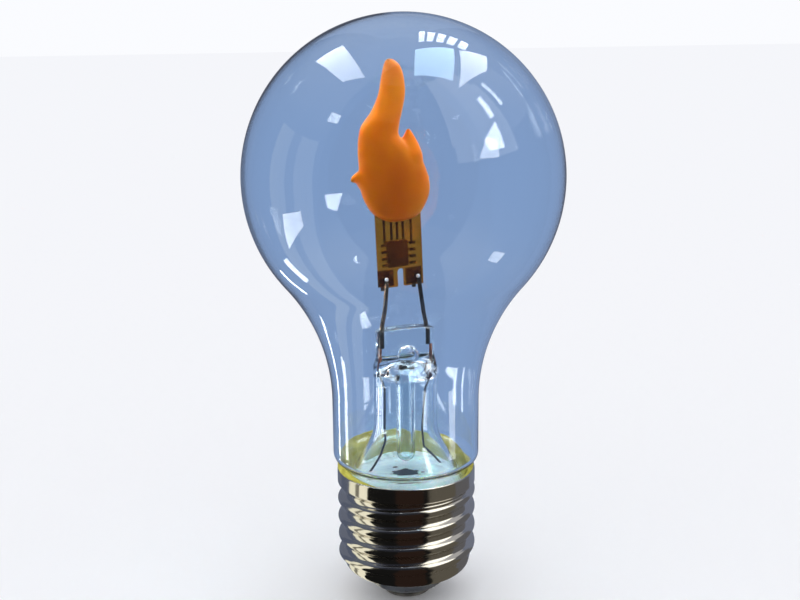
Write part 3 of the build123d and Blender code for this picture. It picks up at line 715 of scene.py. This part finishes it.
def blown_outline(inset):
    """Half section of the bulb from the crown down to the seal, moved inward by the inset."""
    rise = HEAD_HEIGHT - NECK_TOP
    sag = (HEAD_RADIUS ** 2 - NECK_RADIUS ** 2 - rise ** 2) / (2 * (NECK_RADIUS - HEAD_RADIUS))
    tilt = math.degrees(math.atan2(rise, NECK_RADIUS + sag))
    tuck = NECK_RADIUS - SEAL_RADIUS
    drop = math.sqrt(tuck * (4 * TUCK_ROUND - tuck))
    swing = math.degrees(math.asin(drop / (2 * TUCK_ROUND)))
    foot = NECK_FOOT - drop
    outline = swept((0, HEAD_HEIGHT), HEAD_RADIUS - inset, HEAD_START, -tilt, 56)
    outline += swept((NECK_RADIUS + sag, NECK_TOP), sag + inset, 180 - tilt, 180, 30)[1:]
    outline += [(NECK_RADIUS - inset, NECK_TOP - (NECK_TOP - NECK_FOOT) * step / 5) for step in range(1, 6)]
    outline += swept((NECK_RADIUS - TUCK_ROUND, NECK_FOOT), TUCK_ROUND - inset, 0, -swing, 9)[1:]
    outline += swept((SEAL_RADIUS + TUCK_ROUND, foot), TUCK_ROUND + inset, 180 - swing, 180, 9)[1:]
    outline += [(SEAL_RADIUS - inset, height) for height in (foot - 1.0, foot - 2.2, SEAL_HEIGHT)]
    return outline


glass_outline = blown_outline(GLASS_OUTSIDE) + blown_outline(GLASS_INSIDE)[::-1]
bulb_glass = clear_glass("bulb_glass", (0.96, 0.98, 0.99), 0.0004, 0.015, 0.8)
add_piece("blown_bulb", turned(glass_outline, GLASS_STEPS), capped_faces(len(glass_outline), GLASS_STEPS),
          bulb_glass, ["glass_envelope"])


# Cement. Olive basing cement baked between the shell's band and the drawn-in neck. It stands up
# round the glass in an uneven collar, higher behind, with a chipped edge.
CEMENT_STEPS = 168
CEMENT_ROWS = 14
CEMENT_FOOT = 22.7
CEMENT_RADIUS = 12.88
RIM_HEIGHT = 25.5
RIM_RADIUS = 13.15
COLLAR_HEIGHT = 26.5
COLLAR_TILT = 1.95
COLLAR_ROUND = 1.4
CHIP_DEPTH = 0.35
FINE_DEPTH = 0.2
CROWN_EDGE = 0.06
LEAST_WALL = 0.05


def tuck_radius(height):
    """Outer radius of the drawn-in glass at a height."""
    for (upper, above), (lower, below) in zip(drawn_in, drawn_in[1:]):
        if below <= height <= above:
            return lower + (upper - lower) * (height - below) / (above - below)
    return drawn_in[0][0] if height > drawn_in[0][1] else drawn_in[-1][0]


drawn_in = [(radius, height) for radius, height in blown_outline(-0.03) if height < NECK_FOOT + 0.1]
cement_points = []
for row in range(CEMENT_ROWS + 1):
    for step in range(CEMENT_STEPS):
        angle = 2 * math.pi * step / CEMENT_STEPS
        chip = noise.noise(Vector(around(2.6, angle, 0.7)))
        fine = noise.noise(Vector(around(9, angle, 3.1)))
        crown = COLLAR_HEIGHT + COLLAR_TILT * math.sin(angle)
        crown += (CHIP_DEPTH * chip + FINE_DEPTH * fine) * (0.5 + 0.5 * math.sin(angle))
        share = row / CEMENT_ROWS
        height = CEMENT_FOOT + (crown - CEMENT_FOOT) * share
        if height < RIM_HEIGHT:
            radius = CEMENT_RADIUS
        else:
            climb = min(1.0, (height - RIM_HEIGHT) / (crown - RIM_HEIGHT)) ** COLLAR_ROUND
            radius = RIM_RADIUS + (tuck_radius(crown) + CROWN_EDGE - RIM_RADIUS) * climb
            radius = max(radius, tuck_radius(height) + LEAST_WALL)
        cement_points.append(around(radius, angle, height))
for row in range(CEMENT_ROWS, -1, -1):
    for x, y, height in cement_points[row * CEMENT_STEPS:(row + 1) * CEMENT_STEPS]:
        cement_points.append(around(tuck_radius(height), math.atan2(y, x), height))
cement = new_finish("olive_cement", (0.30, 0.28, 0.05), 0.75)
shade_by(cement, grain(cement, 420, 6.0, 0.5),
         [(0.28, (0.24, 0.21, 0.02)), (0.5, (0.42, 0.39, 0.05)), (0.75, (0.66, 0.62, 0.14))])
bump_by(cement, grain(cement, 900, 6.0), 0.0003, 0.8)
# The olive emission is painted light, lifting the cement as if lit through the glass.
set_shader(cement, {"Emission Color": (0.42, 0.38, 0.04, 1), "Emission Strength": 0.28})
cement_faces = ring_faces(2 * (CEMENT_ROWS + 1), CEMENT_STEPS, closed=True)
add_piece("cement_collar", cement_points, cement_faces, cement, ["basing_cement"])


# Studio. A plain pale floor in even light. Behind the glass stand a blue cloth and, on the camera's
# side, a dim room, which only rays that have passed through a surface of glass see. Distances are
# metres and angles are degrees.
FLOOR_HALF = 6.0
PAPER_HEIGHT = -0.0002
ROOM_HEIGHT = -0.0003
CLOTH_HEIGHT = -0.0004
ONE_FACE = [(0, 1, 2, 3)]
CLOTH_DISTANCE = 3.0
CLOTH_BLUE = (0.235, 0.355, 0.60)
CLOTH_SIDES = (38, 278)
CLOTH_STOPS = [(0.22, CLOTH_BLUE), (0.5, (0.36, 0.46, 0.66)), (0.72, (0.75, 0.80, 0.88)), (0.9, (1, 1, 1))]
ROOM_SIDES = (-82, 38)
ROOM_SPLIT = 45
ROOM_LOW = (0.13, 0.17, 0.26)
ROOM_HIGH = (0.30, 0.33, 0.40)
HORIZON = -0.3
DOME_ROWS = 10
DOME_STEP = 6


def stage_piece(name, points, faces, finish, camera=False, diffuse=False, glossy=False, through=False):
    """A card or cloth of the studio, and which rays see it."""
    mesh = bpy.data.meshes.new(name)
    mesh.from_pydata(points, [], faces)
    mesh.materials.append(finish)
    card = put_in_scene(name, mesh)
    card.visible_camera = camera
    card.visible_diffuse = diffuse
    card.visible_glossy = glossy
    card.visible_transmission = through
    card.visible_shadow = diffuse
    card.visible_volume_scatter = False


def glowing(name, colour, strength=1.0):
    glow = new_finish(name, (0, 0, 0), 1.0)
    set_shader(glow, {"Specular IOR Level": 0, "Emission Color": (*colour, 1), "Emission Strength": strength})
    return glow


def toward(azimuth, elevation):
    """Unit vector out from the lamp; azimuth 0 is the front, and +90 is +X."""
    turn, lift = math.radians(azimuth), math.radians(elevation)
    return Vector((math.sin(turn) * math.cos(lift), -math.cos(turn) * math.cos(lift), math.sin(lift)))


def square(height):
    return [(x * FLOOR_HALF, y * FLOOR_HALF, height) for x, y in ((-1, -1), (1, -1), (1, 1), (-1, 1))]


def dome(name, finish, radius, sides, low, high, glossy=False, through=False):
    """Part of a half ball round the lamp, between two azimuths and two elevations."""
    start, end = sides
    across = max(1, round((end - start) / DOME_STEP))
    points, faces = [], []
    for row in range(DOME_ROWS + 1):
        lift = low + (high - low) * row / DOME_ROWS
        points += [toward(start + (end - start) * step / across, lift) * radius for step in range(across + 1)]
    for row in range(DOME_ROWS):
        for step in range(across):
            corner = row * (across + 1) + step
            faces.append((corner, corner + 1, corner + across + 2, corner + across + 1))
    stage_piece(name, points, faces, finish, glossy=glossy, through=through)


def floor_fan(name, finish, sides, distances, height, steps, glossy=False, through=False):
    """A flat card on the floor, between two azimuths and two distances from the lamp's axis."""
    start, end = sides
    points = [toward(start + (end - start) * step / steps, 0) * distance + Vector((0, 0, height))
              for distance in distances for step in range(steps + 1)]
    faces = [(step, step + 1, step + steps + 2, step + steps + 1) for step in range(steps)]
    stage_piece(name, points, faces, finish, glossy=glossy, through=through)


paper = new_finish("pale_paper", (0.95, 0.95, 0.96), 0.95)
set_shader(paper, {"Specular IOR Level": 0})
stage_piece("floor", square(PAPER_HEIGHT), ONE_FACE, paper, camera=True, diffuse=True, glossy=True)
stage_piece("cloth_floor", square(CLOTH_HEIGHT), ONE_FACE, glowing("cloth_floor", CLOTH_BLUE), through=True)
cloth = glowing("blue_cloth", CLOTH_BLUE)
cloth_place = cloth.node_tree.nodes.new("ShaderNodeTexCoord")
cloth_axes = cloth.node_tree.nodes.new("ShaderNodeSeparateXYZ")
cloth.node_tree.links.new(cloth_place.outputs["Object"], cloth_axes.inputs["Vector"])
cloth_rise = spread(cloth, cloth_axes.outputs["Z"], 0.0, 1.0, 0.0, CLOTH_DISTANCE)
cloth.node_tree.links.new(ramp_of(cloth, cloth_rise, CLOTH_STOPS), shader_of(cloth).inputs["Emission Color"])
dome("blue_cloth", cloth, CLOTH_DISTANCE, CLOTH_SIDES, HORIZON, 90, through=True)
room_low = glowing("room_low", ROOM_LOW)
room_high = glowing("room_high", ROOM_HIGH)
dome("room_front", room_low, CLOTH_DISTANCE, ROOM_SIDES, HORIZON, ROOM_SPLIT, through=True)
dome("room_front_high", room_high, CLOTH_DISTANCE, ROOM_SIDES, ROOM_SPLIT, 90, through=True)
floor_fan("room_floor", room_low, ROOM_SIDES, (0.03, CLOTH_DISTANCE), ROOM_HEIGHT, 8, through=True)

world = bpy.data.worlds.new("studio")
bpy.context.scene.world = world
world.use_nodes = True
world.node_tree.nodes["Background"].inputs["Color"].default_value = (0.96, 0.97, 1.0, 1)
world.node_tree.nodes["Background"].inputs["Strength"].default_value = 1.0
world.cycles_visibility.glossy = False


# Window panes. Bright panes of a day-lit window round the head and narrow streaks low round the neck,
# which only the glass shows. Corners are azimuth and elevation from a height on the lamp's axis.
PANE_DISTANCE = 0.9
PANE_WHITE = (0.93, 0.97, 1.0)
PANE_BLUE = (0.60, 0.82, 1.0)
HEAD_MIDDLE = 0.081
DASHES = 5
DASH_SHARE = 0.14
DASH_LOWER_EDGE = ((140.8, 67.3), (113.9, 51.0))
DASH_UPPER_EDGE = ((148.5, 53.9), (123.6, 43.7))
LOW_PANE = [(-0.241, 0.103, 0.004), (-0.287, 0.032, 0.004), (-0.185, 0.017, 0.004), (-0.11, 0.056, 0.004)]


def window_pane(name, corners, distance, strength, colour=PANE_WHITE, height=HEAD_MIDDLE):
    """A bright pane, by its corners as seen from a height on the lamp's axis."""
    points = [Vector((0, 0, height)) + toward(*corner) * distance for corner in corners]
    stage_piece(name, points, ONE_FACE, glowing(name, colour, strength), through=True)


def upright_card(start, end, low, high):
    return [(start, low), (end, low), (end, high), (start, high)]


def edge_place(edge, share):
    return [first + (last - first) * share for first, last in zip(*edge)]


window_pane("window_left", [(-157, 41.5), (-168, 50.5), (-93.5, 69), (-108, 58.5)], PANE_DISTANCE, 72)
window_pane("window_right_a", [(135, 76), (117, 57), (54, 62.5), (7, 78)], PANE_DISTANCE, 26, PANE_BLUE)
window_pane("window_right_b", [(115, 55), (116, 41), (97, 46.5), (50, 57.5)], PANE_DISTANCE, 62)
for dash in range(DASHES):
    shares = (dash / DASHES, dash / DASHES + DASH_SHARE)
    lower = [edge_place(DASH_LOWER_EDGE, share) for share in shares]
    upper = [edge_place(DASH_UPPER_EDGE, share) for share in reversed(shares)]
    window_pane(f"window_dash_{dash}", lower + upper, PANE_DISTANCE, 60)
window_pane("window_small", [(30, 15), (45.6, 13.3), (47.3, 22.3), (39.7, 26.3)], 0.325, 34)
window_pane("streak_left_a", upright_card(-126.5, -119.5, -11, 10), 0.074, 22, height=0.018)
window_pane("streak_left_b", upright_card(-147, -143.5, -11, 10), 0.074, 17, height=0.018)
window_pane("streak_right", upright_card(46, 58, -5, 5), 0.09, 8, height=0.008)
stage_piece("window_low", LOW_PANE, ONE_FACE, glowing("window_low", PANE_WHITE, 40), through=True)


# Surround. A ring of cards close round the lamp, which only metal and glossy surfaces mirror: dark
# flags in front, two warm strips at the left, a bright wall high at the front right, and dim ones behind.
RING_DISTANCE = 0.42
RING_SPLIT = 34
RING_TOP = 72
BLIND_DISTANCE = 0.41
FOOT_DISTANCES = (0.006, RING_DISTANCE)
FOOT_LIFT = 0.0003
# Each sector: its two azimuths, the colour low in it and the colour above that
SECTORS = (
    ((-180, -150), (0.14, 0.16, 0.22), (0.10, 0.12, 0.16)),
    ((-150, -123), (0.10, 0.12, 0.18), (0.12, 0.14, 0.18)),
    ((-123, -108), (0.95, 0.93, 0.74), (0.12, 0.14, 0.18)),
    ((-108, -100), (0.20, 0.19, 0.15), (0.08, 0.09, 0.12)),
    ((-100, -84), (1.0, 0.97, 0.78), (0.08, 0.09, 0.12)),
    ((-84, -38), (0.008, 0.008, 0.008), (0.02, 0.022, 0.03)),
    ((-38, 4), (0.022, 0.013, 0.010), (0.02, 0.022, 0.03)),
    ((4, 12), (0.008, 0.008, 0.008), (0.02, 0.022, 0.03)),
    ((12, 60), (0.11, 0.10, 0.08), (1.7, 1.65, 1.45)),
    ((60, 98), (0.12, 0.12, 0.13), (0.45, 0.45, 0.46)),
    ((98, 140), (0.18, 0.20, 0.27), (0.14, 0.16, 0.22)),
    ((140, 180), (0.14, 0.16, 0.22), (0.3, 0.35, 0.45)),
)
for index, (sides, low_colour, high_colour) in enumerate(SECTORS):
    low_glow = glowing(f"surround_low_{index}", low_colour)
    high_glow = glowing(f"surround_high_{index}", high_colour)
    dome(f"surround_low_{index}", low_glow, RING_DISTANCE, sides, HORIZON, RING_SPLIT, glossy=True)
    dome(f"surround_high_{index}", high_glow, RING_DISTANCE, sides, RING_SPLIT, RING_TOP, glossy=True)
    floor_fan(f"surround_foot_{index}", low_glow, sides, FOOT_DISTANCES, FOOT_LIFT, 4, glossy=True)
blind = glowing("surround_blind", (1.6, 1.58, 1.45))
dome("surround_blind", blind, BLIND_DISTANCE, (14, 64), 25, 60, glossy=True)
crown_glow = glowing("surround_crown", (0.22, 0.25, 0.32))
dome("surround_crown", crown_glow, RING_DISTANCE, (-180, 180), RING_TOP, 90, glossy=True)


# Camera. It stands close in front of the lamp, to the left and a little above, and looks beside the
# axis. Lengths are millimetres, but FOCUS and AIM_ASIDE are pixels of a picture 800 wide.
CAMERA_AZIMUTH = -22
CAMERA_ELEVATION = 12.8
CAMERA_ROLL = math.radians(-0.576)
CAMERA_DISTANCE = 221.56
AIM_HEIGHT = 58.04
AIM_ASIDE = 4.54
FOCUS = 1187.46
PICTURE_WIDTH = 800
SENSOR_WIDTH = 36
back = toward(CAMERA_AZIMUTH, CAMERA_ELEVATION)
turn = math.radians(CAMERA_AZIMUTH)
level = Vector((math.cos(turn), math.sin(turn), 0))
upright = back.cross(level)
camera_x = level * math.cos(CAMERA_ROLL) + upright * math.sin(CAMERA_ROLL)
camera_y = upright * math.cos(CAMERA_ROLL) - level * math.sin(CAMERA_ROLL)
eye = Vector((0, 0, AIM_HEIGHT)) + back * CAMERA_DISTANCE - camera_x * (AIM_ASIDE * CAMERA_DISTANCE / FOCUS)
lens = bpy.data.cameras.new("camera")
lens.lens = FOCUS * SENSOR_WIDTH / PICTURE_WIDTH
lens.sensor_width = SENSOR_WIDTH
lens.clip_start = 0.005
camera = put_in_scene("camera", lens)
facing = Matrix((camera_x, camera_y, back)).transposed().to_4x4()
camera.matrix_world = Matrix.Translation(eye * 0.001) @ facing
bpy.context.scene.camera = camera
bpy.context.scene.view_settings.view_transform = "Standard"
bpy.context.scene.cycles.max_bounces = 28
bpy.context.scene.cycles.transmission_bounces = 28
